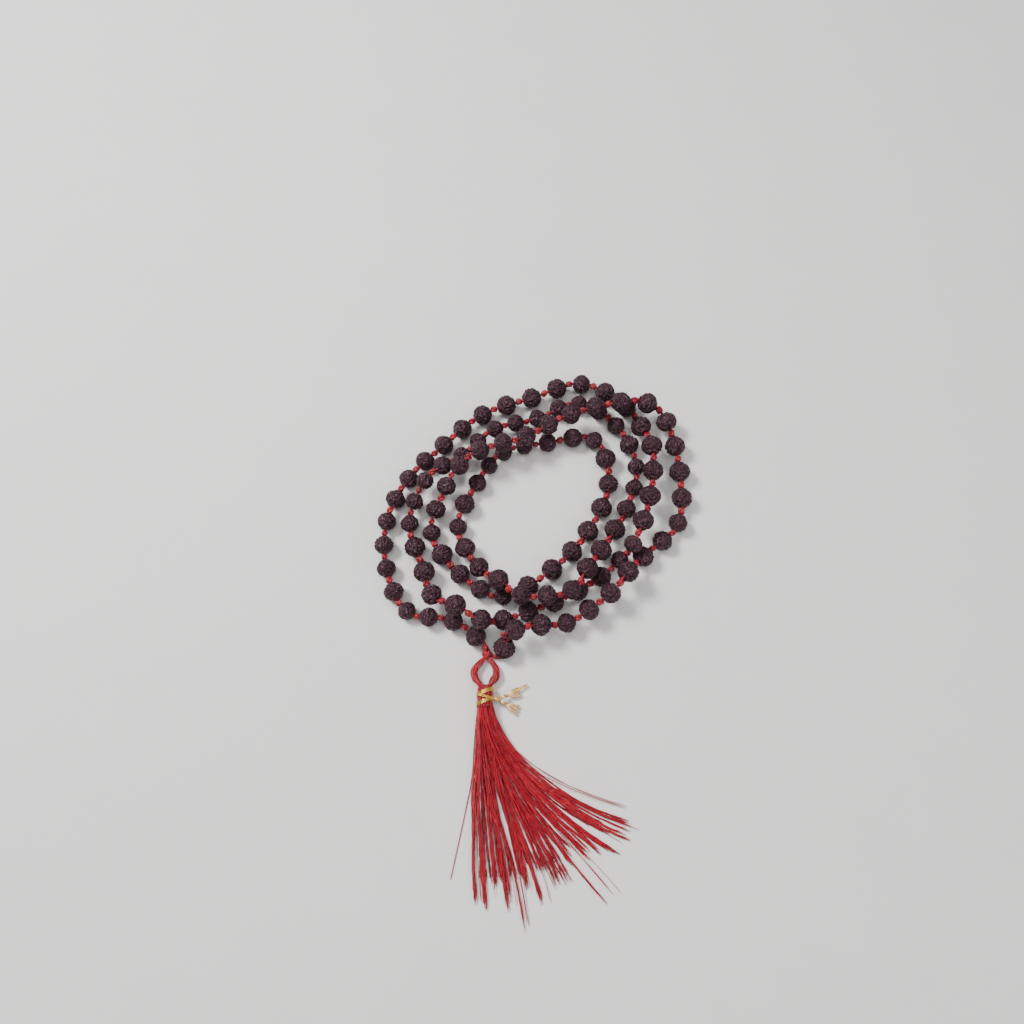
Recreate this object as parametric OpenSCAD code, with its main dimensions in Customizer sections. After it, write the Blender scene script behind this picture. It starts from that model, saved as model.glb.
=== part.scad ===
// Prayer beads (mala): 108 seed beads and a guru bead, knotted on one thread,
// laid down in a coil of four turns, with a silk tassel bound by gold thread.
// X is to the right, the tassel points along -Y, Z is up from the surface that it lies on.

/* [Beads] */
// Diameter of a bead of size 1, across its bore
bead_d = 7.4; // [7.2:0.1:7.5]
// Length of a bead of size 1, along its bore
bead_l = 6.4; // [6:0.1:6.6]
// Diameter of the bore through a bead
bore_d = 1.5; // [1.4:0.1:1.7]
// Diameter of the worn dimple round each mouth of the bore
mouth_d = 3.2; // [2.8:0.1:3.4]
// Depth of that dimple
mouth_depth = 0.5; // [0.3:0.1:0.6]
// Diameter of the guru bead
guru_d = 8; // [7.6:0.1:8.2]

/* [Thread] */
// Diameter of the red thread inside a bead
thread_d = 1; // [0.8:0.1:1.1]
// Diameter of the knot between two beads of size 1
knot_d = 2.4; // [2:0.1:2.6]
// Distance from bead to bead along the thread, for beads of size 1
knot_pitch = 8.75; // [8.6:0.05:8.9]

/* [Tassel] */
// Diameter of the two silk cords of the neck
neck_cord_d = 2; // [1.6:0.1:2.2]
// Diameter of the bound head of the tassel
head_d = 5.4; // [4.8:0.1:5.6]
// Diameter of one gold thread
gold_d = 0.4; // [0.3:0.05:0.5]
// How many times the gold thread goes round in one band
gold_turns = 3; // [2:1:4]
// Thickness of the fringe where it lies flat
fringe_h = 2; // [1.5:0.1:2.5]

/* [Hidden] */
// How far round the thread each size may vary
size_range = [0.9, 1.06];
// Beads lying under others are drawn together, this many to a node
group_size = 8;
// The first bead of each turn of the coil. The last turn lies uppermost, and each of its
// beads is drawn by itself.
turn_starts = [1, 27, 61, 80, 109];
first_single = turn_starts[3];
bead_count = turn_starts[4] - 1;
smooth = 72;
fine = 40;
thread_sides = 8;
// Flat part of a bead's outline, between its axis and the middle of its side arc
shoulder = (bead_d - bead_l) / 2;
// The thread is looser, and so thicker, where it is outside the beads
bare_d = thread_d + 0.2;

// The route of the thread: [bead number, x, y, height of the bead's underside].
// Beads between two rows lie on a smooth curve through them.
route = [
    [0, -13, -7, 0], [1, -20, -2, 0], [2, -27.5, 3, 0], [4, -43, 6.5, 0], [6, -50.5, 21, 0],
    [8, -51, 37.5, 0], [10, -44, 53, 0], [12, -32, 65.5, 0], [14, -18.5, 77, 0],
    [16, -1, 83.5, 0], [18, 17, 89, 0], [20, 33, 80, 0], [21, 37.5, 72, 1.5],
    [22, 40.5, 63.5, 4.5], [24, 39, 45, 5], [26, 32.5, 28, 6], [27, 28.5, 24, 0],
    [28, 22, 18, 0], [30, 6, 9.5, 0], [32, -11, 3.5, 0], [33, -18, 2.5, 6],
    [34, -26.5, 7, 6.5], [35, -34.5, 11, 4.5], [36, -37.5, 19.5, 1], [38, -43, 36.5, 1],
    [40, -38, 51, 4], [41, -32, 56.5, 4], [42, -25.5, 61, 2], [44, -14, 71, 2],
    [46, 1, 75.5, 0.5], [48, 16, 81.5, 0], [50, 29, 73, 0], [52, 35.5, 57.5, 0],
    [54, 31.5, 42, 0], [56, 22, 26.5, 3], [57, 17, 19.5, 6], [58, 11.5, 12, 7.5],
    [60, -5, 10.5, 7], [61, -12.5, 15.5, 6.5], [62, -19, 20.5, 3.5], [64, -26.5, 35.5, 0],
    [66, -20, 51.5, 0], [68, -11, 63, 0], [70, 4.5, 66.5, 0], [72, 21, 67.5, 0],
    [74, 25.5, 51, 0], [76, 18, 34, 0], [78, 5.5, 20.5, 0], [80, -11, 11.5, 0],
    [82, -25.5, 19, 0], [84, -35.5, 33.5, 0], [86, -30.5, 49, 4], [87, -26, 55, 8],
    [88, -19, 60.5, 8], [90, -3, 66, 7.5], [92, 12.5, 74.5, 6.5], [94, 30, 78.5, 7.5],
    [95, 39.5, 79, 5.5], [96, 46.5, 73.5, 2], [98, 50.5, 55.5, 0], [100, 49, 37, 0],
    [102, 36.5, 25, 0], [103, 30.5, 18.5, 5.5], [104, 24.5, 11.5, 4.5], [106, 10, 2, 2],
    [107, 1.5, 1, 4], [108, -7, -1, 6.5], [109, -15, -5, 6]
];

// The guru bead hangs beside the neck of the tassel, its bore rising to bead 108
guru_at = [-10.5, -6, 4.1];
guru_dir = [0.36, 0.72, 0.59];
// The thread bends round the rims of the last bead and the guru bead, with smaller knots there
upper_bends = [[-11.4, -2.6, 11], [-9.8, -3, 7]];
lower_bend = [-12.3, -8.9, 1.5];
end_knot = 0.62;
guru_l = guru_d * bead_l / bead_d;
// Where both ends of the thread are tied, and the tassel swings
neck_at = [-16.3, -7.6, 1.8];
neck_knot_d = 3.2;
// Where the neck cords go into the head, and the tassel lifts
hinge_at = [-16.8, -17.9, 2.5];
// The neck cords start this far from the neck knot, and bow out this far to the left and right
cord_start = [1.3, -2.6, -0.6];
bows = [-3.4, 2.6];
// The bound head runs from head_back to head_front along -Y
head_x = -16.8;
head_back = -18.4;
head_front = -24.6;
// Where the gold bands lie on the head, and how far they slant
band_y = [-19.9, -22.9];
band_slant = 16;
// How far round the head from its top the crossing thread reaches
cross_reach = 50;
tie_knot_at = [-13.1, -22.3, 3.4];
tie_knot_d = 1.5;
// Clearance between pieces that touch on the real object
gap = 0.1;

// Each frayed end of the gold thread: [x, y, z, half width, half thickness]
tail_upper = [
    [-12.2, -22.2, 3.1, 0.25, 0.2], [-10.3, -21.8, 2.2, 0.3, 0.25], [-8.5, -21, 1.4, 0.5, 0.3],
    [-6.7, -20.1, 1, 1.2, 0.4], [-5.4, -19.4, 0.9, 1, 0.4], [-4.2, -18.6, 0.8, 0.4, 0.3],
    [-2.9, -17.8, 0.8, 0.3, 0.3]
];
tail_lower = [
    [-12.3, -22.8, 3, 0.25, 0.2], [-11.2, -23.6, 2.2, 0.3, 0.25], [-10.3, -24.3, 1.4, 0.5, 0.3],
    [-8.9, -25, 1, 0.9, 0.4], [-7.7, -25.7, 0.9, 1.3, 0.4], [-6.3, -26.6, 0.7, 0.4, 0.3]
];
// The fringe's left edge, right edge and thickness, as multiples of fringe_h: [y, left, right, thickness]
fringe = [
    [-24.7, -19.3, -14.3, 2.6], [-27, -19.2, -12.4, 2.4], [-30, -19.1, -10.5, 2.1],
    [-38, -18.9, -3.5, 1.6], [-48, -18.8, 8, 1.2], [-58, -18.7, 22, 1], [-63, -18.6, 22.5, 1],
    [-68, -18.5, 20, 1], [-78, -18, 13, 0.9], [-86, -17, 5, 0.8], [-92.5, -14, -9, 0.6]
];
// A silk thread that lies apart from the fringe
stray = [[-19.6, -28, 0.5], [-20.3, -38, 0.4], [-21, -48, 0.3], [-24, -63, 0.3], [-27, -77, 0.3]];
stray_d = 0.4;

function unit(v) = v / norm(v);
function clamped(v, range) = min(max(v, range[0]), range[1]);
function spot(k) = [route[k][1], route[k][2], route[k][3]];
function slope(k) =
    let(a = max(k - 1, 0), b = min(k + 1, len(route) - 1))
    (spot(b) - spot(a)) / (route[b][0] - route[a][0]);
function row_before(t) = max([for (k = [0 : len(route) - 2]) if (route[k][0] <= t) k]);

// Cubic curve through the rows of the route, by bead number
function on_route(t) =
    let(
        k = row_before(t),
        span = route[k + 1][0] - route[k][0],
        s = (t - route[k][0]) / span
    )
    (2 * s^3 - 3 * s^2 + 1) * spot(k) + (3 * s^2 - 2 * s^3) * spot(k + 1)
    + (s^3 - 2 * s^2 + s) * span * slope(k) + (s^3 - s^2) * span * slope(k + 1);

// Seeds differ: a bead's size follows the room between its two knots
function size_of(t) = clamped(norm(on_route(t + 0.5) - on_route(t - 0.5)) / knot_pitch, size_range);
function centre(t) = on_route(t) + [0, 0, size_of(t) * bead_d / 2];
function heading(t) = unit(centre(t + 0.3) - centre(t - 0.3));
function mouth(i, side) = centre(i) + side * size_of(i) * bead_l / 2 * heading(i);
function guru_mouth(side) = guru_at + side * guru_l / 2 * unit(guru_dir);

module point_at(dir) {
    rotate([0, acos(dir.z / norm(dir)), atan2(dir.y, dir.x)]) children();
}

// Half outline of a bead: an arc for the side, a bore, and a dimple at each mouth
module bead_outline() {
    difference() {
        union() {
            translate([shoulder, 0]) circle(d = bead_l, $fn = smooth);
            translate([0, -bead_l / 2]) square([shoulder, bead_l]);
        }
        polygon([
            [-bead_l, -bead_l], [mouth_d / 2, -bead_l], [mouth_d / 2, -bead_l / 2],
            [bore_d / 2, mouth_depth - bead_l / 2], [bore_d / 2, bead_l / 2 - mouth_depth],
            [mouth_d / 2, bead_l / 2], [mouth_d / 2, bead_l], [-bead_l, bead_l]
        ]);
    }
}

module seed(size) {
    scale(size) rotate_extrude($fn = smooth) bead_outline();
}

module bead(i) {
    color([0.2, 0.11, 0.13]) translate(centre(i)) point_at(heading(i)) seed(size_of(i));
}

module guru_bead() {
    color([0.17, 0.09, 0.11]) translate(guru_at) point_at(guru_dir) seed(guru_d / bead_d);
}

// The point on the neck knot's surface that faces a given point
function on_neck_knot(facing) = neck_at + neck_knot_d / 2 * unit(facing - neck_at);

// Rings of a knotted stretch: how far along it each one stands, and its radius
knot_steps = [0.22, 0.5, 0.78];
knot_radii = [0.72, 1, 0.72] * knot_d / 2;

function knot_rings(from, to, size) = [
    for (k = [0 : len(knot_steps) - 1])
    [from + knot_steps[k] * (to - from), knot_radii[k] * size]
];

// Rings of the thread from the first bead's mouth to the mouth of the bead after the last one
function strung_rings(first, last) = [
    for (i = [first : last])
    each concat(
        [[mouth(i, -1), thread_d / 2], [mouth(i, 1), thread_d / 2]],
        i < bead_count ? knot_rings(mouth(i, 1), mouth(i + 1, -1), size_of(i + 0.5)) : []
    )
];

module threaded(rings) {
    color([0.72, 0.05, 0.1])
    lofted([for (ring = rings) ring[0]], [for (ring = rings) [ring[1], ring[1]]], thread_sides);
}

// One turn of the coil: thread hidden in the beads' bores, with a knot between each two beads
module thread_turn(number) {
    first = turn_starts[number - 1];
    last = turn_starts[number] - 1;
    ending = last < bead_count ? [[mouth(last + 1, -1), thread_d / 2]] : [];
    threaded(concat(strung_rings(first, last), ending));
}

module thread_turn_1() thread_turn(1);
module thread_turn_2() thread_turn(2);
module thread_turn_3() thread_turn(3);
module thread_turn_4() thread_turn(4);

// The two ends of the thread: one goes straight to the neck knot, one through the guru bead
module thread_ends() {
    bare = thread_d / 2;
    start = mouth(1, -1);
    finish = mouth(bead_count, 1);
    threaded(concat(
        [[start, bare]],
        knot_rings(start, on_neck_knot(start), 1),
        [[on_neck_knot(start), bare]]
    ));
    threaded(concat(
        [[finish, bare], [upper_bends[0], bare]],
        knot_rings(upper_bends[0], upper_bends[1], end_knot),
        [[guru_mouth(1), bare], [guru_mouth(-1), bare], [lower_bend, bare]],
        knot_rings(lower_bend, on_neck_knot(lower_bend), end_knot),
        [[on_neck_knot(lower_bend), bare]]
    ));
}

// Both ends of the thread tied together, with a turn of thread round the knot
module neck_knot() {
    color([0.72, 0.05, 0.1])
    translate(neck_at) {
        sphere(d = neck_knot_d, $fn = fine);
        rotate([20, 0, 0])
        rotate_extrude($fn = smooth)
        translate([neck_knot_d / 2 - bare_d / 4, 0]) circle(d = bare_d, $fn = fine);
    }
}

// Closed tube with an elliptical ring at each point. Its rings stand across the way
// of the points, or along a given direction.
module lofted(points, half_sizes, sides, across = undef) {
    n = len(points);
    rings = [
        for (k = [0 : n - 1])
        let(
            way = unit(points[min(k + 1, n - 1)] - points[max(k - 1, 0)]),
            right = is_undef(across) ? unit(cross(way, [0, 0, 1])) : across,
            up = is_undef(across) ? cross(right, way) : [0, 0, 1]
        )
        for (j = [0 : sides - 1])
        let(a = 360 * (j + 0.5) / sides)
        points[k] + half_sizes[k][0] * cos(a) * right + half_sizes[k][1] * sin(a) * up
    ];
    faces = concat(
        [[for (j = [0 : sides - 1]) j]],
        [[for (j = [sides - 1 : -1 : 0]) (n - 1) * sides + j]],
        [
            for (k = [0 : n - 2], j = [0 : sides - 1])
            let(a = k * sides + j, b = k * sides + (j + 1) % sides)
            each [[a, a + sides, b + sides], [a, b + sides, b]]
        ]
    );
    polyhedron(points = rings, faces = faces, convexity = 4);
}

function first_three(row) = [row[0], row[1], row[2]];

// Tube of one thickness through a list of points
module tube(points, d) {
    lofted(points, [for (p = points) [d / 2, d / 2]], 8);
}

// One silk cord of the neck, bowed out to its side
module neck_cord(side) {
    steps = 10;
    bow = side < 0 ? bows[0] : bows[1];
    start = neck_at + [side * cord_start.x, cord_start.y, cord_start.z];
    end = hinge_at + [side * (neck_cord_d / 2 + 1.5 * gap), 3 * gap, -gap];
    color([0.75, 0.04, 0.1])
    tube([for (k = [0 : steps]) let(s = k / steps) start + s * (end - start) + [bow * sin(180 * s), 0, 0]],
        neck_cord_d);
}

module neck_cord_left() {
    neck_cord(-1);
}

module neck_cord_right() {
    neck_cord(1);
}

// Places something round the head at y, slanted as the gold bands are
module on_head(y) {
    translate([head_x, y, head_d / 2]) rotate([0, 0, band_slant]) rotate([90, 0, 0]) children();
}

// Bound head: silk drawn together, with a groove for each gold band
module tassel_head() {
    r = head_d / 2;
    length = head_back - head_front;
    depth = gold_d * 0.9;
    half_band = gold_turns * gold_d / 2 + gap;
    color([0.78, 0.04, 0.1])
    difference() {
        translate([head_x, head_back, r])
        rotate([90, 0, 0])
        rotate_extrude($fn = smooth)
        polygon([
            [0, 0], [r * 0.4, 0], [r * 0.85, 0.5], [r, 1.2],
            [r, length - 0.4], [r * 0.94, length], [0, length]
        ]);
        for (y = band_y)
            on_head(y)
            rotate_extrude($fn = smooth)
            translate([r - depth, -half_band]) square([2 * depth, 2 * half_band]);
    }
}

// Gold thread wound side by side round the head
module gold_band(y) {
    color([0.85, 0.68, 0.3])
    on_head(y)
    for (k = [0 : gold_turns - 1])
        rotate_extrude($fn = smooth)
        translate([head_d / 2 - gold_d * 0.3, (k - (gold_turns - 1) / 2) * gold_d])
        circle(d = gold_d, $fn = 16);
}

module gold_band_upper() {
    gold_band(band_y[0]);
}

module gold_band_lower() {
    gold_band(band_y[1]);
}

// One turn of gold thread that crosses from the upper band to the lower, over both
module gold_cross_thread() {
    steps = 10;
    r = head_d / 2 + gold_d * 0.7 + gap;
    shift = r * sin(cross_reach) * tan(band_slant);
    from = band_y[0] - shift;
    to = band_y[1] + shift;
    color([0.85, 0.68, 0.3])
    tube([
        for (k = [0 : steps])
        let(s = k / steps, a = cross_reach * (2 * s - 1))
        [head_x + r * sin(a), from + s * (to - from), head_d / 2 + r * cos(a)]
    ], gold_d);
}

module gold_tie_knot() {
    color([0.85, 0.62, 0.42])
    translate(tie_knot_at) {
        sphere(d = tie_knot_d, $fn = fine);
        rotate([0, 60, 0])
        rotate_extrude($fn = smooth)
        translate([tie_knot_d / 2, 0]) circle(d = gold_d, $fn = fine);
    }
}

// One end of the gold thread, frayed into flat foil
module gold_tail(rows) {
    color([0.88, 0.62, 0.45])
    lofted([for (row = rows) first_three(row)], [for (row = rows) [row[3], row[4]]], 8);
}

module gold_tail_upper() {
    gold_tail(tail_upper);
}

module gold_tail_lower() {
    gold_tail(tail_lower);
}

// Silk threads fanned out over the surface, as one body
module silk_fringe() {
    color([0.8, 0.03, 0.08])
    lofted(
        [for (row = fringe) [(row[1] + row[2]) / 2, row[0], row[3] * fringe_h / 2 + gap]],
        [for (row = fringe) [(row[2] - row[1]) / 2, row[3] * fringe_h / 2]],
        16, [-1, 0, 0]
    );
}

module stray_thread() {
    color([0.8, 0.03, 0.08]) tube(stray, stray_d);
}

module mala_beads(from, to) {
    for (i = [from : to]) bead(i);
}

function padded(i) = str(i < 10 ? "00" : i < 100 ? "0" : "", i);
function group_name(k) = str("beads_", padded(k), "_", padded(min(k + group_size, first_single) - 1));

thread_turn_1();
thread_turn_2();
thread_turn_3();
thread_turn_4();
thread_ends();
neck_knot();
guru_bead();
neck_cord_left();
neck_cord_right();
tassel_head();
gold_band_upper();
gold_band_lower();
gold_cross_thread();
gold_tie_knot();
gold_tail_upper();
gold_tail_lower();
silk_fringe();
stray_thread();
for (k = [1 : group_size : first_single - 1])
    mala_beads(k, min(k + group_size, first_single) - 1);
for (i = [first_single : bead_count])
    bead(i);
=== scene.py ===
"""Mala prayer beads: the visual model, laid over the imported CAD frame.

Lengths are in metres. +Z is up, and the tassel points along -Y.
"""

import math

import bpy
import numpy as np
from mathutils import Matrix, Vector


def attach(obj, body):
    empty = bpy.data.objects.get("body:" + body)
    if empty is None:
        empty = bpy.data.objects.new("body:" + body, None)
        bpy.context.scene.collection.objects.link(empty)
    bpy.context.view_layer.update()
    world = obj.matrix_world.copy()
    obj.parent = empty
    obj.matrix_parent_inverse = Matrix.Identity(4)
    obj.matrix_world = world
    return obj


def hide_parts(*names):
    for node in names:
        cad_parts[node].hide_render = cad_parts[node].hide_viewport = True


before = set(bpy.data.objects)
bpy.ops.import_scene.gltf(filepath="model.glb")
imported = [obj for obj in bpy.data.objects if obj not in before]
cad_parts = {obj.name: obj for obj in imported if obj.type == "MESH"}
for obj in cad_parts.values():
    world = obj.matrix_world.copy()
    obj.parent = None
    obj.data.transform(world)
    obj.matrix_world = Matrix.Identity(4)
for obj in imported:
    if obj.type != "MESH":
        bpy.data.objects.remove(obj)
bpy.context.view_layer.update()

MM = 0.001
rng = np.random.default_rng(108)

# --- Sizes, as in the CAD model ---
BEAD_D, BEAD_L = 7.4 * MM, 6.4 * MM
BORE_D, MOUTH_D, MOUTH_DEPTH = 1.5 * MM, 3.2 * MM, 0.5 * MM
GURU_D = 8.0 * MM
THREAD_D = 1.1 * MM
KNOT_D = 2.4 * MM
NECK_KNOT_D = 3.5 * MM
KNOT_PITCH = 8.75 * MM
SIZE_RANGE = (0.9, 1.06)
BEAD_COUNT = 108
GROUP_SIZE = 8
FIRST_SINGLE = 80

# The route of the thread: bead number, x, y, height of the bead's underside
ROUTE = [
    (0, -0.013, -0.007, 0), (1, -0.02, -0.002, 0), (2, -0.0275, 0.003, 0), (4, -0.043, 0.0065, 0),
    (6, -0.0505, 0.021, 0), (8, -0.051, 0.0375, 0), (10, -0.044, 0.053, 0), (12, -0.032, 0.0655, 0),
    (14, -0.0185, 0.077, 0), (16, -0.001, 0.0835, 0), (18, 0.017, 0.089, 0), (20, 0.033, 0.08, 0),
    (21, 0.0375, 0.072, 0.0015), (22, 0.0405, 0.0635, 0.0045), (24, 0.039, 0.045, 0.005),
    (26, 0.0325, 0.028, 0.006), (27, 0.0285, 0.024, 0), (28, 0.022, 0.018, 0),
    (30, 0.006, 0.0095, 0), (32, -0.011, 0.0035, 0), (33, -0.018, 0.0025, 0.006),
    (34, -0.0265, 0.007, 0.0065), (35, -0.0345, 0.011, 0.0045), (36, -0.0375, 0.0195, 0.001),
    (38, -0.043, 0.0365, 0.001), (40, -0.038, 0.051, 0.004), (41, -0.032, 0.0565, 0.004),
    (42, -0.0255, 0.061, 0.002), (44, -0.014, 0.071, 0.002), (46, 0.001, 0.0755, 0.0005),
    (48, 0.016, 0.0815, 0), (50, 0.029, 0.073, 0), (52, 0.0355, 0.0575, 0), (54, 0.0315, 0.042, 0),
    (56, 0.022, 0.0265, 0.003), (57, 0.017, 0.0195, 0.006), (58, 0.0115, 0.012, 0.0075),
    (60, -0.005, 0.0105, 0.007), (61, -0.0125, 0.0155, 0.0065), (62, -0.019, 0.0205, 0.0035),
    (64, -0.0265, 0.0355, 0), (66, -0.02, 0.0515, 0), (68, -0.011, 0.063, 0),
    (70, 0.0045, 0.0665, 0), (72, 0.021, 0.0675, 0), (74, 0.0255, 0.051, 0), (76, 0.018, 0.034, 0),
    (78, 0.0055, 0.0205, 0), (80, -0.011, 0.0115, 0), (82, -0.0255, 0.019, 0),
    (84, -0.0355, 0.0335, 0), (86, -0.0305, 0.049, 0.004), (87, -0.026, 0.055, 0.008),
    (88, -0.019, 0.0605, 0.008), (90, -0.003, 0.066, 0.0075), (92, 0.0125, 0.0745, 0.0065),
    (94, 0.03, 0.0785, 0.0075), (95, 0.0395, 0.079, 0.0055), (96, 0.0465, 0.0735, 0.002),
    (98, 0.0505, 0.0555, 0), (100, 0.049, 0.037, 0), (102, 0.0365, 0.025, 0),
    (103, 0.0305, 0.0185, 0.0055), (104, 0.0245, 0.0115, 0.0045), (106, 0.01, 0.002, 0.002),
    (107, 0.0015, 0.001, 0.004), (108, -0.007, -0.001, 0.0065), (109, -0.015, -0.005, 0.006),
]
GURU_AT = np.array((-0.0105, -0.006, 0.0041))
GURU_DIR = np.array((0.36, 0.72, 0.59))
# Where the thread bends round the rims of the last bead and the guru bead
UPPER_BENDS = (np.array((-0.0114, -0.0026, 0.011)), np.array((-0.0098, -0.003, 0.007)))
LOWER_BEND = np.array((-0.0123, -0.0089, 0.0015))
END_KNOT = 0.66
NECK_AT = np.array((-0.0163, -0.0076, 0.0018))
HINGE_AT = np.array((-0.0168, -0.0179, 0.0025))
HEAD_X, HEAD_D = -0.0168, 5.4 * MM
HEAD_BACK, HEAD_FRONT = -0.0184, -0.0246
BAND_Y = (-0.0199, -0.0229)
BAND_SLANT = math.radians(16)
GOLD_D = 0.4 * MM
GOLD_TURNS = 3
TIE_KNOT_AT = np.array((-0.0131, -0.0223, 0.0034))
THREAD_NODES = ("thread_turn_1", "thread_turn_2", "thread_turn_3", "thread_turn_4", "thread_ends")


# --- Camera ---
LENS_MM, SENSOR_MM = 30.94, 36
CAMERA_AT = (-0.008, -0.0478, 0.2937)
LOOKS_AT = Vector((-0.008, 0.042, 0.0))


def add_camera():
    """A view from 73 degrees above the surface, looking along +Y."""
    camera = bpy.data.objects.new("camera", bpy.data.cameras.new("camera"))
    camera.data.lens = LENS_MM
    camera.data.sensor_width = SENSOR_MM
    camera.data.clip_start = 0.01
    camera.location = CAMERA_AT
    camera.rotation_euler = (LOOKS_AT - camera.location).to_track_quat("-Z", "Y").to_euler()
    bpy.context.scene.collection.objects.link(camera)
    bpy.context.scene.camera = camera


# --- The route of the thread ---
def unit(v):
    return v / np.linalg.norm(v)


def spot(k):
    return np.array(ROUTE[k][1:], float)


def slope(k):
    a, b = max(k - 1, 0), min(k + 1, len(ROUTE) - 1)
    return (spot(b) - spot(a)) / (ROUTE[b][0] - ROUTE[a][0])


def on_route(t):
    """Cubic curve through the rows of the route, by bead number."""
    k = max(i for i in range(len(ROUTE) - 1) if ROUTE[i][0] <= t)
    span = ROUTE[k + 1][0] - ROUTE[k][0]
    s = (t - ROUTE[k][0]) / span
    return (
        (2 * s**3 - 3 * s**2 + 1) * spot(k)
        + (3 * s**2 - 2 * s**3) * spot(k + 1)
        + (s**3 - 2 * s**2 + s) * span * slope(k)
        + (s**3 - s**2) * span * slope(k + 1)
    )


def size_of(t):
    """A bead's size follows the room between its two knots."""
    room = np.linalg.norm(on_route(t + 0.5) - on_route(t - 0.5))
    return min(max(room / KNOT_PITCH, SIZE_RANGE[0]), SIZE_RANGE[1])


def centre(t):
    return on_route(t) + np.array((0, 0, size_of(t) * BEAD_D / 2))


def heading(t):
    return unit(centre(t + 0.3) - centre(t - 0.3))


def mouth(i, side):
    return centre(i) + side * size_of(i) * BEAD_L / 2 * heading(i)


def guru_mouth(side):
    return GURU_AT + side * GURU_D * BEAD_L / BEAD_D / 2 * unit(GURU_DIR)


# --- Curves and tubes ---
def smooth_path(points, step):
    """Catmull-Rom curve through the points, sampled about every step."""
    p = np.asarray(points, float)
    p = np.vstack([2 * p[0] - p[1], p, 2 * p[-1] - p[-2]])
    out = []
    for a, b, c, d in zip(p[:-3], p[1:-2], p[2:-1], p[3:]):
        n = max(2, int(np.linalg.norm(c - b) / step))
        for s in np.arange(n)[:, None] / n:
            square, cube = 2 * a - 5 * b + 4 * c - d, 3 * b - 3 * c + d - a
            out.append(0.5 * (2 * b + (c - a) * s + square * s**2 + cube * s**3))
    return np.vstack(out + [p[-2]])


def arc_lengths(path):
    steps = np.linalg.norm(np.diff(path, axis=0), axis=1)
    return np.concatenate([[0], np.cumsum(steps)])


def frames_along(path):
    """Two unit vectors across the path at each point, carried along it without twist."""
    ways = np.gradient(path, axis=0)
    ways /= np.linalg.norm(ways, axis=1)[:, None]
    side = np.cross(ways[0], (0, 0, 1))
    if np.linalg.norm(side) < 0.1:
        side = np.cross(ways[0], (0, 1, 0))
    sides = []
    for way in ways:
        side = unit(side - way * side.dot(way))
        sides.append(side)
    sides = np.array(sides)
    return sides, np.cross(sides, ways)


def sweep(path, radius, sides=6, across=None, flat=1.0):
    """Tube along the path, as vertices and faces. flat below 1 thins it along its second direction."""
    u, v = frames_along(path) if across is None else across
    radius = np.broadcast_to(radius, len(path)).copy()
    radius[[0, -1]] *= 0.4
    a = np.linspace(0, 2 * math.pi, sides, endpoint=False)
    ring = np.cos(a)[None, :, None] * u[:, None] + flat * np.sin(a)[None, :, None] * v[:, None]
    verts = (path[:, None] + radius[:, None, None] * ring).reshape(-1, 3)
    n = len(path)
    k = np.arange((n - 1) * sides).reshape(n - 1, sides)
    nxt = np.roll(k, -1, axis=1)
    faces = np.stack([k, k + sides, nxt + sides, nxt], axis=-1).reshape(-1, 4).tolist()
    faces.append(list(range(sides)))
    faces.append(list(range(n * sides - 1, (n - 1) * sides - 1, -1)))
    return verts, faces


def wound(path, d, plies, pitch, sides=5, turn=0.0):
    """Plies twisted round each other along the path, d across in all."""
    u, v = frames_along(path)
    ply_r = d / 2 / (1 + 1 / math.sin(math.pi / plies))
    off = d / 2 - ply_r
    phase = 2 * math.pi * arc_lengths(path) / pitch + turn
    tubes = []
    for k in range(plies):
        a = phase + 2 * math.pi * k / plies
        line = path + off * (np.cos(a)[:, None] * u + np.sin(a)[:, None] * v)
        tubes.append(sweep(line, ply_r * 1.12, sides))
    return tubes


# --- Making pieces ---
def piece(name, parts, material, body, replaces=(), values=None):
    """One object from several (vertices, faces), on its body, for its CAD nodes."""
    verts, faces, base = [], [], 0
    for part_verts, part_faces in parts:
        verts.append(part_verts)
        faces += [[i + base for i in face] for face in part_faces]
        base += len(part_verts)
    mesh = bpy.data.meshes.new(name)
    mesh.from_pydata(np.vstack(verts).tolist(), [], faces, shade_flat=False)
    for key, numbers in (values or {}).items():
        mesh.attributes.new(key, "FLOAT", "POINT").data.foreach_set("value", np.concatenate(numbers))
    mesh.materials.append(material)
    obj = bpy.data.objects.new(name, mesh)
    bpy.context.scene.collection.objects.link(obj)
    if replaces:
        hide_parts(*replaces)
    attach(obj, body)
    return obj


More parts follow.
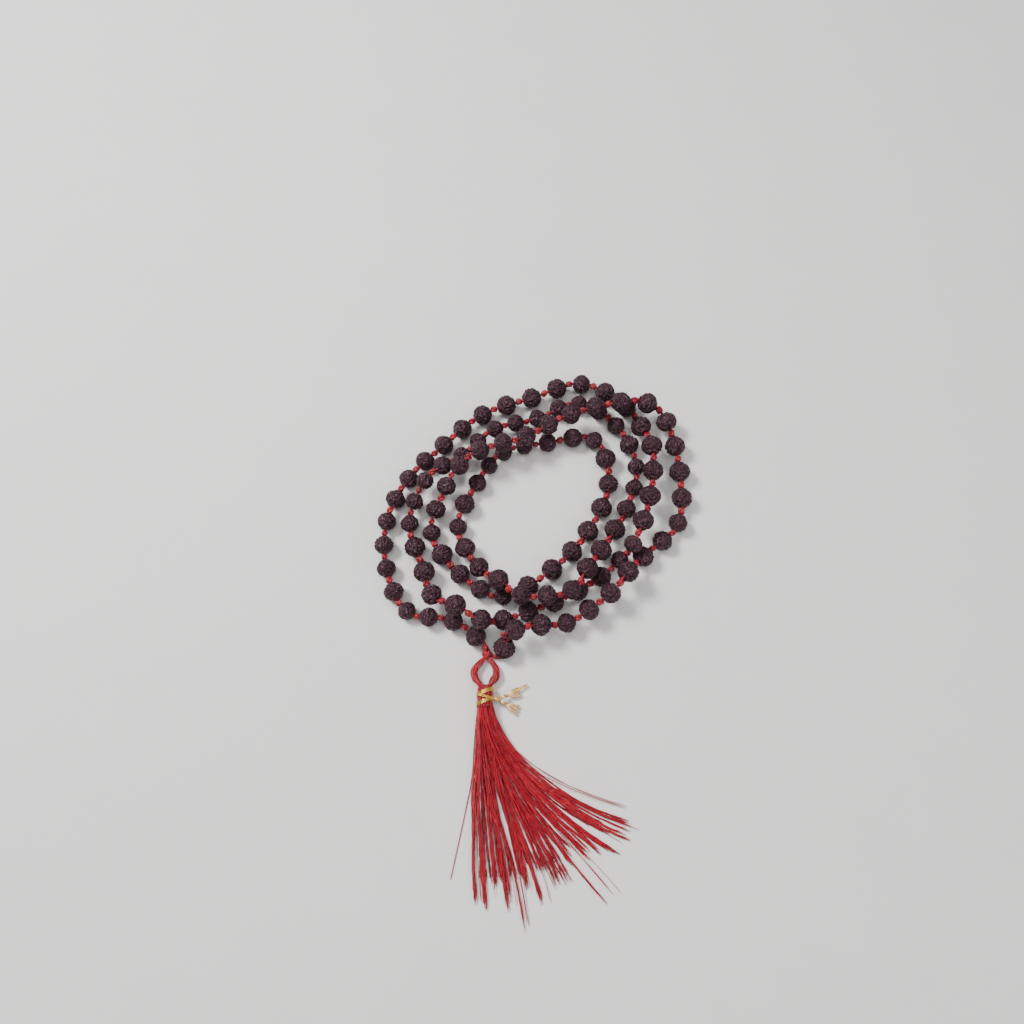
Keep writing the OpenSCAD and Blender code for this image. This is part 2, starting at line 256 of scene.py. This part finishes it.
# --- Materials ---
class Surface:
    """A material with a Principled shader, and short ways to wire its nodes."""

    def __init__(self, name, **sockets):
        self.material = bpy.data.materials.new(name)
        self.material.use_nodes = True
        self.tree = self.material.node_tree
        self.shader = self.tree.nodes["Principled BSDF"]
        for key, value in sockets.items():
            self.shader.inputs[key.replace("_", " ")].default_value = value
        self.place = self.tree.nodes.new("ShaderNodeTexCoord").outputs["Object"]

    def node(self, kind, inputs=None, **settings):
        made = self.tree.nodes.new(kind)
        for key, value in settings.items():
            setattr(made, key, value)
        for key, value in (inputs or {}).items():
            if isinstance(value, bpy.types.NodeSocket):
                self.tree.links.new(value, made.inputs[key])
            else:
                made.inputs[key].default_value = value
        return made

    def value(self, name):
        """A number kept at each of the mesh's points."""
        return self.node("ShaderNodeAttribute", attribute_name=name).outputs["Fac"]

    def noise(self, scale, detail=3.0, roughness=0.6):
        made = self.node(
            "ShaderNodeTexNoise",
            {"Vector": self.place, "Scale": scale, "Detail": detail, "Roughness": roughness},
        )
        return made.outputs["Fac"]

    def noise_colour(self, scale):
        return self.node("ShaderNodeTexNoise", {"Vector": self.place, "Scale": scale}).outputs["Color"]

    def ramp(self, fac, stops):
        made = self.node("ShaderNodeValToRGB", {"Fac": fac})
        elements = made.color_ramp.elements
        while len(elements) < len(stops):
            elements.new(0.5)
        for element, (at, colour) in zip(elements, stops):
            element.position = at
            element.color = (*colour, 1)
        return made.outputs["Color"]

    def mixed(self, fac, a, b, mode="MIX"):
        made = self.node("ShaderNodeMix", {"Factor": fac}, data_type="RGBA", blend_type=mode)
        for index, value in ((6, a), (7, b)):
            if isinstance(value, bpy.types.NodeSocket):
                self.tree.links.new(value, made.inputs[index])
            else:
                made.inputs[index].default_value = (*value, 1)
        return made.outputs[2]

    def spread(self, fac, low, high):
        made = self.node("ShaderNodeMapRange", {"Value": fac, "To Min": low, "To Max": high})
        return made.outputs["Result"]

    def wire(self, name, value):
        self.tree.links.new(value, self.shader.inputs[name])

    def bump(self, height, strength, distance):
        made = self.node("ShaderNodeBump", {"Height": height, "Strength": strength, "Distance": distance})
        self.wire("Normal", made.outputs["Normal"])


def seed_material():
    """Dark, handled rudraksha seed: glossy ridges, dull furrows, with a painted highlight on the ridge tops
    and painted shade in the furrows and fine crevices.
    """
    s = Surface("seed", Specular_IOR_Level=0.65, Specular_Tint=(1.0, 0.62, 0.74, 1.0))
    relief = s.value("relief")
    # Painted highlight and shade: the colour runs from near black in deep furrows to light purple-grey on
    # the highest ridge tops
    ridge_light_furrow_shade = s.ramp(
        relief,
        [
            (0.0, (0.004, 0.001, 0.002)),
            (0.45, (0.026, 0.007, 0.012)),
            (0.75, (0.082, 0.028, 0.044)),
            (1.0, (0.26, 0.13, 0.17)),
        ],
    )
    tint_and_shading = s.mixed(s.value("tint"), ridge_light_furrow_shade, (0.030, 0.008, 0.008))
    # Fine worm-like ridges, too small for the mesh
    bent = s.node("ShaderNodeVectorMath", {0: s.noise_colour(700.0), "Scale": 0.0009}, operation="SCALE")
    where = s.node("ShaderNodeVectorMath", {0: s.place, 1: bent.outputs[0]}, operation="ADD")
    ridges = s.node(
        "ShaderNodeTexVoronoi", {"Vector": where.outputs[0], "Scale": 1120.0}, feature="DISTANCE_TO_EDGE"
    ).outputs["Distance"]
    height = s.node("ShaderNodeMapRange", {"Value": ridges, "From Max": 0.3}).outputs["Result"]
    dust_and_shading = s.mixed(s.spread(s.noise(900.0), 0.0, 0.25), tint_and_shading, (0.070, 0.032, 0.048))
    # Painted shade: the fine crevices between the ridges are darkened towards black
    s.wire("Base Color", s.mixed(s.spread(height, 0.7, 0.0), dust_and_shading, (0.004, 0.001, 0.002)))
    s.wire("Roughness", s.spread(relief, 0.55, 0.20))
    grit = s.spread(s.noise(3600.0, 4.0), 0.0, 0.5)
    rough = s.node("ShaderNodeMath", {0: height, 1: grit}, operation="ADD")
    s.bump(rough.outputs[0], 0.8, 0.00025)
    return s.material


def fibre_material(name, dark, light, roughness, sheen, grain):
    """Dyed thread: colour that varies along it, and fine fibres."""
    s = Surface(name, Roughness=roughness, Sheen_Weight=sheen, Sheen_Roughness=0.4, Specular_IOR_Level=0.55)
    patches = s.mixed(s.spread(s.noise(420.0), 0.0, 1.0), dark, light)
    # Each part's shade value darkens it: a random tone, with painted shade on the lower fringe yarns and a
    # painted highlight on the loose top filaments
    shade = s.mixed(s.spread(s.value("shade"), 0.0, 0.75), patches, dark)
    s.wire("Base Color", shade)
    s.bump(s.noise(grain, 4.0), 0.35, 0.00006)
    return s.material


def gold_material(name, dark, light, metallic, roughness, grain):
    """Foil wound round a core: fine ridges and uneven brightness."""
    s = Surface(name, Metallic=metallic)
    s.wire("Base Color", s.mixed(s.noise(1500.0), dark, light))
    s.wire("Roughness", s.spread(s.noise(2600.0), roughness - 0.1, roughness + 0.18))
    s.bump(s.noise(grain, 2.0), 0.5, 0.00008)
    return s.material


# --- Beads ---
AROUND, ALONG = 92, 33
# Furrows that run from mouth to mouth, and the rounded knobs between them
FURROWS, FURROW_DEPTH, FURROW_W = 5, 0.2 * MM, 0.26 * MM
KNOBS, KNOB_DEPTH = 165, 0.46 * MM
GRAINS, GRAIN_DEPTH = 560, 0.16 * MM


def bead_profile():
    """The closed outline that is turned to make a bead: round the outside, then back through the bore."""
    half, shoulder = BEAD_L / 2, (BEAD_D - BEAD_L) / 2
    rim = math.acos((MOUTH_D / 2 - shoulder) / half)
    a = np.linspace(-rim, rim, ALONG)
    outside = np.stack([shoulder + half * np.cos(a), half * np.sin(a)], axis=1)
    deep = half - MOUTH_DEPTH
    inside = np.array([(BORE_D / 2, y) for y in (deep, deep / 3, -deep / 3, -deep)])
    return np.vstack([outside, inside])


PROFILE = bead_profile()


def knobs(points, count, stretch):
    """Scattered rounded knobs: 0 in the gaps between them, up to 1 at their tops."""
    k = np.arange(count) + 0.5
    tilt = np.arccos(1 - 2 * k / count)
    turn = math.pi * (1 + math.sqrt(5)) * k
    seeds = np.stack([np.cos(turn) * np.sin(tilt), np.sin(turn) * np.sin(tilt), np.cos(tilt)], axis=1)
    seeds += rng.normal(0, 0.6 / math.sqrt(count), seeds.shape)
    scale = np.array((1.0, 1.0, stretch))
    squared = ((points * scale) ** 2).sum(1)[:, None] + ((seeds * scale) ** 2).sum(1)[None]
    apart = np.maximum(squared - 2 * (points * scale) @ (seeds * scale).T, 0).min(axis=1)
    reach = 0.62 * math.sqrt(4 * math.pi / count)
    return np.sqrt(np.clip(1 - apart / reach**2, 0, 1))


def seed(size, at, way):
    """Vertices, faces, relief and tint of one knobbly seed with a bore along way."""
    n = len(PROFILE)
    turn = np.linspace(0, 2 * math.pi, AROUND, endpoint=False)
    radial = np.broadcast_to(PROFILE[:, 0], (AROUND, n)).copy()
    up = np.broadcast_to(PROFILE[:, 1], (AROUND, n))
    ball = np.stack(
        [radial * np.cos(turn)[:, None], radial * np.sin(turn)[:, None], np.array(up)], axis=-1
    ).reshape(-1, 3)
    directions = ball / np.linalg.norm(ball, axis=1)[:, None]
    # Bending the pattern makes its knobs run together in crooked ridges
    bent = directions + 0.16 * np.sin(3.1 * directions[:, [1, 2, 0]] * math.pi + rng.uniform(0, 6, 3))
    knob = knobs(bent, KNOBS, 0.7)
    grain = knobs(bent, GRAINS, 1.0)
    lumps = 0.5 + 0.5 * np.sin(2.3 * directions @ rng.normal(0, 1, 3) + rng.uniform(0, 6))
    swing = 0.10 * np.sin(up / BEAD_L * 5 + rng.uniform(0, 6))
    nearest = np.abs((turn[:, None] + swing) * FURROWS / (2 * math.pi) % 1 - 0.5) * 2 * math.pi / FURROWS
    furrow = np.exp(-((nearest * radial / FURROW_W) ** 2)).reshape(-1)
    sunk = (
        KNOB_DEPTH * (1 - knob) + GRAIN_DEPTH * (1 - grain) + FURROW_DEPTH * furrow * 0.9 + 0.12 * MM * lumps
    )
    outside = np.tile(np.arange(n) < ALONG, AROUND)
    # The relief fades out towards the worn rims of the bore
    edge = np.tile(np.clip(np.minimum(np.arange(n), ALONG - 1 - np.arange(n)) / 2.5, 0, 1), AROUND)
    sunk = np.where(outside, sunk * edge, 0)
    ball -= directions * sunk[:, None]
    # relief keys the colour as painted highlight and shade: highest on knob tops, low in the furrows,
    # lowered towards the bore rims, and 0.05 as painted shade inside the bore
    relief = np.where(outside, np.clip(1.12 - sunk / (0.5 * MM), 0, 1) * (0.55 + 0.45 * edge), 0.05)
    x = unit(np.cross(way, (0.3, 0.2, 1)))
    basis = np.stack([x, np.cross(way, x), way])
    roll = rng.uniform(0, 2 * math.pi)
    spin = np.array(
        [(math.cos(roll), math.sin(roll), 0), (-math.sin(roll), math.cos(roll), 0), (0, 0, 1)]
    )
    verts = size * ball @ spin @ basis + at
    k = np.arange(AROUND * n).reshape(AROUND, n)
    right, above = np.roll(k, -1, axis=0), np.roll(k, -1, axis=1)
    corner = np.roll(right, -1, axis=1)
    faces = np.stack([k, right, corner, above], axis=-1).reshape(-1, 4).tolist()
    tint = np.full(len(verts), rng.uniform(0, 0.5))
    return verts, faces, relief, tint


def bead_piece(name, node, body, seeds, material):
    piece(
        name,
        [(verts, faces) for verts, faces, _, _ in seeds],
        material,
        body,
        (node,),
        {"relief": [s[2] for s in seeds], "tint": [s[3] for s in seeds]},
    )


def add_beads():
    material = seed_material()
    strung = {i: seed(size_of(i), centre(i), heading(i)) for i in range(1, BEAD_COUNT + 1)}
    for first in range(1, FIRST_SINGLE, GROUP_SIZE):
        last = min(first + GROUP_SIZE, FIRST_SINGLE) - 1
        node = f"beads_{first:03d}_{last:03d}"
        group = [strung[i] for i in range(first, last + 1)]
        bead_piece(node.replace("beads", "seeds"), node, "strand", group, material)
    for i in range(FIRST_SINGLE, BEAD_COUNT + 1):
        bead_piece(f"seed_{i:03d}", f"bead_{i:03d}", f"bead_{i:03d}", [strung[i]], material)
    guru = seed(GURU_D / BEAD_D, GURU_AT, unit(GURU_DIR))
    bead_piece("guru_seed", "guru_bead", "guru", [guru], material)


# --- Thread and knots ---
def knot_tube(at, way, d, cord_d, lean=0.0):
    """A tight overhand knot: a three-lobed line drawn in round the thread."""
    t = np.linspace(0, 2 * math.pi, 40)
    reach = (d - cord_d) / 2
    x = (np.sin(t) + 2 * np.sin(2 * t)) / 3 * reach
    y = (np.cos(t) - 2 * np.cos(2 * t)) / 3 * reach
    z = -np.sin(3 * t) * reach * 0.8
    a = unit(np.cross(way, (0.2, 0.1, 1)))
    b = np.cross(way, a)
    a, b = math.cos(lean) * a + math.sin(lean) * b, math.cos(lean) * b - math.sin(lean) * a
    path = at + x[:, None] * a + y[:, None] * b + z[:, None] * way
    return sweep(path, cord_d / 2, 7)


def shades(parts, low=0.0, high=1.0):
    """One shade for each part, so that neighbouring threads differ."""
    return {"shade": [np.full(len(verts), rng.uniform(low, high)) for verts, _ in parts]}


def add_thread(material):
    """The whole thread as one twisted cord, with its knots."""
    stops = [NECK_AT]
    for i in range(1, BEAD_COUNT + 1):
        stops += [mouth(i, -1), centre(i), mouth(i, 1)]
    stops += [*UPPER_BENDS, guru_mouth(1), GURU_AT, guru_mouth(-1), LOWER_BEND, NECK_AT]
    path = smooth_path(stops, 0.45 * MM)
    parts = wound(path, THREAD_D, 3, 2.2 * MM)
    values = shades(parts, 0, 0.6)
    thread = piece("strand_thread", parts, material, "strand", THREAD_NODES, values)
    ties = [(mouth(i, 1), mouth(i + 1, -1), size_of(i + 0.5)) for i in range(1, BEAD_COUNT)]
    at_neck_knot = NECK_AT + 1.6 * MM * unit(LOWER_BEND - NECK_AT)
    ties += [(*UPPER_BENDS, END_KNOT), (LOWER_BEND, at_neck_knot, END_KNOT), (NECK_AT, mouth(1, -1), 1.0)]
    parts = []
    for a, b, size in ties:
        d = KNOT_D * size * rng.uniform(1.0, 1.12)
        middle, way = (a + b) / 2, unit(b - a)
        parts.append(knot_tube(middle, way, d, 0.9 * MM, rng.uniform(0, 6)))
        askew = unit(way + rng.normal(0, 0.25, 3))
        parts.append(knot_tube(middle, askew, d * 0.8, 0.8 * MM, rng.uniform(0, 6)))
    piece("knots", parts, material, "strand", (), shades(parts))
    ways = ((1, 0.3, 0.2), (0.1, 1, 0.5), (0.5, -0.5, 1))
    parts = [knot_tube(NECK_AT, unit(np.array(way)), NECK_KNOT_D, THREAD_D) for way in ways]
    piece("neck_tie", parts, material, "strand", ("neck_knot",), shades(parts))


# --- Neck and head of the tassel ---
NECK_STRANDS = 10
HEAD_STRANDS = 30


def add_neck(material):
    """Two silk cords that bow apart between the neck knot and the head."""
    for name, side, bow in (("left", -1, -3.2 * MM), ("right", 1, 2.7 * MM)):
        s = np.linspace(0, 1, 26)[:, None]
        start = NECK_AT + np.array((side * 0.5, -1.2, -0.2)) * MM
        end = HINGE_AT + np.array((side * 1.0, -0.6, 0.1)) * MM
        line = start + s * (end - start) + np.sin(math.pi * s) ** 1.1 * np.array((bow, 0, -0.2 * MM))
        u, v = frames_along(line)
        swell = 0.32 + 0.86 * np.sin(math.pi * s[:, 0]) ** 0.7 + 0.1 * np.sin(9 * s[:, 0] + side)
        parts = [sweep(line, 0.8 * MM * swell, 8, (u, v))]
        for k in range(NECK_STRANDS):
            a = 2 * math.pi * k / NECK_STRANDS + 2.6 * s[:, 0] + 0.3 * np.sin(7 * s[:, 0] + k)
            off = 0.84 * MM * swell * (1 + 0.22 * np.sin(5 * s[:, 0] + 2.4 * k))
            strand = line + off[:, None] * (np.cos(a)[:, None] * u + np.sin(a)[:, None] * v)
            strand[:, 2] = np.maximum(strand[:, 2], 0.4 * MM)
            parts += wound(strand, 0.62 * MM, 2, 1.3 * MM, 5, k)
        nodes = ("neck_cord_" + name,)
        piece("neck_silk_" + name, parts, material, "neck", nodes, shades(parts))


def head_radius(y):
    """Radius of the drawn-together silk: narrow at its back, waisted under each band."""
    along = (HEAD_BACK - y) / MM
    r = np.interp(along, [-0.6, 0.2, 1.0, 6.2], [1.2, 2.05, 2.5, 2.55])
    for band in BAND_Y:
        r = r - 0.22 * np.exp(-(((y - band) / MM / 0.7) ** 2))
    return r * MM


def add_head(material):
    """A core, and silk threads laid side by side along it."""
    y = np.linspace(HEAD_BACK + 0.6 * MM, HEAD_FRONT - 0.3 * MM, 30)
    axis = np.stack([np.full(30, HEAD_X), y, np.full(30, HEAD_D / 2)], axis=1)
    r = head_radius(y)
    across = (np.tile((1.0, 0, 0), (30, 1)), np.tile((0, 0, 1.0), (30, 1)))
    parts = [sweep(axis, r * 0.9, 24, across)]
    for k in range(HEAD_STRANDS):
        a = 2 * math.pi * k / HEAD_STRANDS + 0.25 * (HEAD_BACK - y) / (HEAD_BACK - HEAD_FRONT)
        a = a + rng.normal(0, 0.04)
        strand = axis + (r * 0.97)[:, None] * np.stack([np.cos(a), 0 * a, np.sin(a)], axis=1)
        parts += wound(strand, 0.6 * MM, 2, 1.6 * MM, 5, rng.uniform(0, 6))
    piece("head_silk", parts, material, "tassel", ("tassel_head",), shades(parts))


# --- Gold thread ---
TUFT_W, TUFT_STRIPS = 3.0 * MM, 18
COLLAR_W, COLLAR_STRIPS = 1.1 * MM, 6
# Each tail in mm: its stem from the knot, the end of its tuft, and its braided tip
TAILS = {
    "upper": (
        [(-11.6, -21.9, 2.8), (-9.8, -21.3, 2.1)],
        (-5.6, -19.9, 1.0),
        [(-6.3, -19.3, 1.7), (-2.9, -17.6, 0.9)],
    ),
    "lower": (
        [(-11.8, -23.0, 2.8), (-10.0, -23.9, 2.0)],
        (-6.2, -26.0, 0.9),
        [(-7.6, -24.4, 1.7), (-5.6, -24.4, 0.9)],
    ),
}


def round_head(y0, turns, r, start=0.0, rise=0.0):
    """A slanted line wound round the head."""
    a = start + np.linspace(0, 2 * math.pi * turns, int(40 * turns) + 1)
    x, z = r * np.cos(a), r * np.sin(a)
    y = rise * (a - start) / (2 * math.pi) + 0.12 * MM * np.sin(2 * a)
    tilt = x * math.sin(BAND_SLANT)
    return np.stack([HEAD_X + x * math.cos(BAND_SLANT), y0 + y + tilt, HEAD_D / 2 + z], axis=1)


def foil_tuft(root, tip, width, count):
    """Frayed foil: narrow strips that spread from root to a tip of that width."""
    way = tip - root
    out = unit(np.cross(way, (0, 0, 1)))
    parts = []
    for k in range(count):
        f = (k + 0.5) / count - 0.5 + rng.normal(0, 0.03)
        end = tip + f * width * out + unit(way) * rng.uniform(-0.5, 0.4) * MM
        end = end + np.array((0, 0, rng.uniform(-0.1, 0.5))) * MM
        bend = (root + end) / 2 + np.array((0, 0, rng.uniform(0.1, 0.6))) * MM + f * width * 0.25 * out
        end[2] = max(end[2], 0.25 * MM)
        line = smooth_path([root, bend, end], 0.4 * MM)
        u, v = frames_along(line)
        parts.append(sweep(line, 0.26 * MM, 6, (u, v), 0.35))
    return parts


def add_gold(bright, foil):
    """Bands, the thread that crosses between them, the tie knot and its two frayed tails."""
    r = HEAD_D / 2 + 0.02 * MM
    for name, y in (("upper", BAND_Y[0]), ("lower", BAND_Y[1])):
        rise = -1.05 * GOLD_D
        line = round_head(y - rise * GOLD_TURNS / 2, GOLD_TURNS + 0.4, r, -2.0, rise)
        parts = wound(line, GOLD_D * 1.15, 2, 0.9 * MM, 6)
        piece("gold_wrap_" + name, parts, bright, "tassel", ("gold_band_" + name,))
    a = np.radians(np.linspace(-58, 58, 24))
    over = HEAD_D / 2 + 0.42 * MM
    y = np.linspace(BAND_Y[0] - 0.7 * MM, BAND_Y[1] + 0.8 * MM, 24)
    cross = np.stack([HEAD_X + over * np.sin(a), y, HEAD_D / 2 + over * np.cos(a)], axis=1)
    parts = wound(cross, GOLD_D * 1.15, 2, 0.9 * MM, 6)
    parts += wound(cross + np.array((0.1, -0.45, -0.05)) * MM, GOLD_D, 2, 0.9 * MM, 6)
    piece("gold_crossing", parts, bright, "tassel", ("gold_cross_thread",))
    ways = ((1, 0.2, 0.4), (0.2, 1, 0.3))
    parts = [knot_tube(TIE_KNOT_AT, unit(np.array(way)), 1.8 * MM, 0.5 * MM) for way in ways]
    lead = smooth_path([(-0.0146, -0.0222, 0.0049), (-0.0139, -0.0223, 0.0042), TIE_KNOT_AT], 0.3 * MM)
    parts += wound(lead, GOLD_D * 1.3, 2, 0.9 * MM, 6)
    piece("gold_knot", parts, foil, "tassel", ("gold_tie_knot",))
    for name, (stem, tuft_end, braid) in TAILS.items():
        stem = [TIE_KNOT_AT] + [np.array(p) * MM for p in stem]
        parts = wound(smooth_path(stem, 0.4 * MM), 1.0 * MM, 3, 1.8 * MM, 6)
        tip = smooth_path([stem[-1]] + [np.array(p) * MM for p in braid], 0.3 * MM)
        parts += wound(tip, 0.8 * MM, 3, 1.4 * MM, 6)
        piece("gold_braid_" + name, parts, bright, "tassel")
        parts = foil_tuft(stem[-1], np.array(tuft_end) * MM, TUFT_W, TUFT_STRIPS)
        parts += foil_tuft(stem[1], stem[-1] + np.array((0, 0, 0.4)) * MM, COLLAR_W, COLLAR_STRIPS)
        piece("gold_fray_" + name, parts, foil, "tassel", ("gold_tail_" + name,))


# --- Fringe ---
LOCK_COUNT = 18
# How far the first and the last lock turn from straight down, towards the right, and their reach in mm
FAN = (math.radians(-2), math.radians(52))
LOCK_REACH = 58
UNEVEN_REACH = 3.5
# One lock in so many, from this one on, is a single yarn that reaches further than the others
LONE_EVERY, LONE_FIRST = 7, 4
LONE_EXTRA = 9
FLARE = 1.1


def fringe_lock(k):
    """Tip x and y of a lock in mm, the yarns in it, and how far it flares."""
    f = k / (LOCK_COUNT - 1)
    turn = FAN[0] + (FAN[1] - FAN[0]) * f
    lone = k % LONE_EVERY == LONE_FIRST
    reach = LOCK_REACH + UNEVEN_REACH * math.sin(2.4 * k) + (LONE_EXTRA if lone else 0)
    tip_x = HEAD_X / MM + reach * math.sin(turn)
    tip_y = HEAD_FRONT / MM - reach * math.cos(turn)
    return tip_x, tip_y, 1 if lone else 3 + (k + 1) % 2, FLARE * f**2.4


LOCKS = [fringe_lock(k) for k in range(LOCK_COUNT)]
YARN_D = 0.62 * MM
FILAMENTS = 6
LOOSE_FILAMENTS = 34
UNDER_YARNS = 24
# Leftmost and rightmost tips of the yarns underneath
UNDER_TIPS = (np.array((-0.0182, -0.078, 0)), np.array((0.0225, -0.0575, 0)))
STRAY_D = 0.42 * MM
STRAY = MM * np.array(
    [
        (-18.9, -26, 1.4), (-19.6, -28, 0.5), (-20.3, -38, 0.4),
        (-21, -48, 0.3), (-24, -63, 0.3), (-27, -77, 0.3),
    ]
)


def yarn_path(root, tip, flare, lift):
    """From the head down to the surface and out to the tip, the flared ones bending to the right."""
    reach = np.linalg.norm((tip - root)[:2])
    leave = unit(np.array((0.25 * (tip - root)[0] / reach, -1, 0))) * reach
    arrive = unit(np.array((0.1 + 1.6 * flare, -1.0 + 0.45 * flare, 0))) * reach
    s = np.linspace(0, 1, 34)[:, None]
    line = (
        (2 * s**3 - 3 * s**2 + 1) * root
        + (3 * s**2 - 2 * s**3) * tip
        + (s**3 - 2 * s**2 + s) * leave
        + (s**3 - s**2) * arrive
    )
    waves = rng.uniform(0, 6, 4)
    sway = 0.35 * np.sin(5 * s[:, 0] + waves[0]) + 0.14 * np.sin(15 * s[:, 0] + waves[1])
    line[:, 0] += sway * MM * np.sin(math.pi * s[:, 0]) * 1.4
    floor = YARN_D / 2 + 0.12 * MM
    fall = np.clip(1 - s[:, 0] / 0.62, 0, 1) ** 1.6
    hump = lift * np.sin(math.pi * np.clip(s[:, 0] * 0.95, 0, 1)) ** 0.8
    line[:, 2] = floor + (root[2] - floor) * fall + hump * (1 - fall * 0.5)
    return line


def yarn(line, d):
    """Filaments twisted loosely round a core, frayed apart at the tip."""
    s = np.linspace(0, 1, len(line))
    u, v = frames_along(line)
    fray = 1 + 1.6 * np.clip((s - 0.90) / 0.10, 0, 1) ** 1.5
    parts = [sweep(line, 0.33 * d * (1 - 0.7 * np.clip((s - 0.92) / 0.08, 0, 1)), 6, (u, v))]
    turn = rng.uniform(0, 6)
    for k in range(FILAMENTS):
        a = turn + 2 * math.pi * k / FILAMENTS + 26 * s + 0.5 * np.sin(11 * s + 2.1 * k)
        off = 0.34 * d * fray * (1 + 0.25 * np.sin(17 * s + 3 * k))
        strand = line + off[:, None] * (np.cos(a)[:, None] * u + np.sin(a)[:, None] * v)
        strand[:, 2] = np.maximum(strand[:, 2], 0.12 * MM)
        end = len(line) - rng.integers(0, 3)
        parts.append(sweep(strand[:end], 0.17 * d * np.where(s > 0.95, 0.6, 1.0)[:end], 5))
    return parts


def add_fringe(material):
    """Yarns to the tips of their locks, others beneath, loose filaments, and one stray thread."""
    total = sum(lock[2] for lock in LOCKS)
    parts, done = [], 0
    for tip_x, tip_y, count, flare in LOCKS:
        for _ in range(count):
            across = (done + 0.5) / total * 2 - 1
            done += 1
            layer = rng.uniform(-1, 1)
            room = math.sqrt(max(0.0, 1 - (0.94 * across) ** 2))
            height = HEAD_D / 2 + 2.2 * MM * layer * room
            root = np.array((HEAD_X + 2.3 * MM * across, HEAD_FRONT + 1.2 * MM, height))
            tip = np.array((tip_x + rng.normal(0, 0.55), tip_y + rng.normal(0, 1.0), 0)) * MM
            lift = rng.uniform(0.0, 1.3) * MM
            parts += yarn(yarn_path(root, tip, flare, lift), YARN_D * rng.uniform(0.85, 1.3))
    values = shades(parts, 0.0, 0.8)
    # Thicker yarns fill the gaps from below, given dark shades as painted shade under the locks
    under = []
    for k in range(UNDER_YARNS):
        f = (k + 0.5) / UNDER_YARNS
        straight = UNDER_TIPS[0] + f * (UNDER_TIPS[1] - UNDER_TIPS[0])
        bulge = np.array((-0.7, -4.2, 0)) * MM
        tip = straight + math.sin(math.pi * f) * bulge * 1.6
        root = np.array((HEAD_X + 2.1 * MM * (2 * f - 1), HEAD_FRONT + 1.2 * MM, HEAD_D / 2 - 1.2 * MM))
        under += yarn(yarn_path(root, tip, 0.95 * f**2, 0.0), YARN_D * rng.uniform(1.1, 1.5))
    values["shade"] += shades(under, 0.7, 1.0)["shade"]
    parts += under
    # A few single filaments lie loose over the locks, given light shades as a painted highlight
    loose = []
    for _ in range(LOOSE_FILAMENTS):
        lock = LOCKS[rng.integers(0, len(LOCKS))]
        across = rng.uniform(-0.9, 0.9)
        height = HEAD_D / 2 + rng.uniform(-0.5, 2.0) * MM
        root = np.array((HEAD_X + 2.2 * MM * across, HEAD_FRONT + 1.0 * MM, height))
        tip = np.array((lock[0] + rng.normal(0, 2.2), lock[1] + rng.uniform(-1, 6), 0)) * MM
        line = yarn_path(root, tip, lock[3], rng.uniform(0.8, 2.2) * MM)
        loose.append(sweep(line, rng.uniform(0.08, 0.14) * MM, 5))
    values["shade"] += shades(loose, 0.0, 0.2)["shade"]
    piece("fringe_silk", parts + loose, material, "tassel", ("silk_fringe",), values)
    parts = wound(smooth_path(STRAY, 0.7 * MM), STRAY_D, 2, 1.4 * MM, 5)
    piece("stray_silk", parts, material, "tassel", ("stray_thread",), shades(parts))


# --- Floor and light ---
FLOOR_SIZE = 3
# Each light: its name, place, width and power in watts
LIGHTS = (
    ("key", (-0.45, 0.30, 0.65), 0.22, 9.0),
    ("fill", (0.55, -0.35, 0.55), 0.6, 2.5),
    ("top", (0.0, 0.1, 0.9), 0.5, 2.5),
)


def add_stage():
    """A plain pale floor, three soft lights and a dim even sky."""
    bpy.ops.mesh.primitive_plane_add(size=FLOOR_SIZE)
    floor = bpy.context.object
    floor.name = "floor"
    s = Surface("floor", Roughness=0.75, Specular_IOR_Level=0.25)
    s.wire("Base Color", s.mixed(s.noise(40.0), (0.74, 0.72, 0.70), (0.78, 0.76, 0.74)))
    floor.data.materials.append(s.material)
    for name, at, size, watts in LIGHTS:
        light = bpy.data.objects.new(name, bpy.data.lights.new(name, "AREA"))
        light.data.size = size
        light.data.energy = watts
        light.location = at
        light.rotation_euler = (Vector((0, 0, 0)) - light.location).to_track_quat("-Z", "Y").to_euler()
        bpy.context.scene.collection.objects.link(light)
    world = bpy.data.worlds.new("studio")
    world.use_nodes = True
    world.node_tree.nodes["Background"].inputs["Color"].default_value = (0.95, 0.96, 1.0, 1)
    world.node_tree.nodes["Background"].inputs["Strength"].default_value = 0.4
    bpy.context.scene.world = world


add_camera()
cotton = fibre_material("cotton_thread", (0.13, 0.001, 0.006), (0.48, 0.004, 0.022), 0.5, 0.03, 5200.0)
silk = fibre_material("silk", (0.11, 0.001, 0.005), (0.70, 0.003, 0.026), 0.28, 0.0, 6500.0)
gold = gold_material("gold_thread", (0.60, 0.33, 0.03), (1.0, 0.70, 0.16), 1.0, 0.28, 7000.0)
foil = gold_material("gold_foil", (0.72, 0.36, 0.14), (0.98, 0.70, 0.46), 0.8, 0.36, 5000.0)
add_thread(cotton)
add_beads()
add_neck(silk)
add_head(silk)
add_gold(gold, foil)
add_fringe(silk)
add_stage()
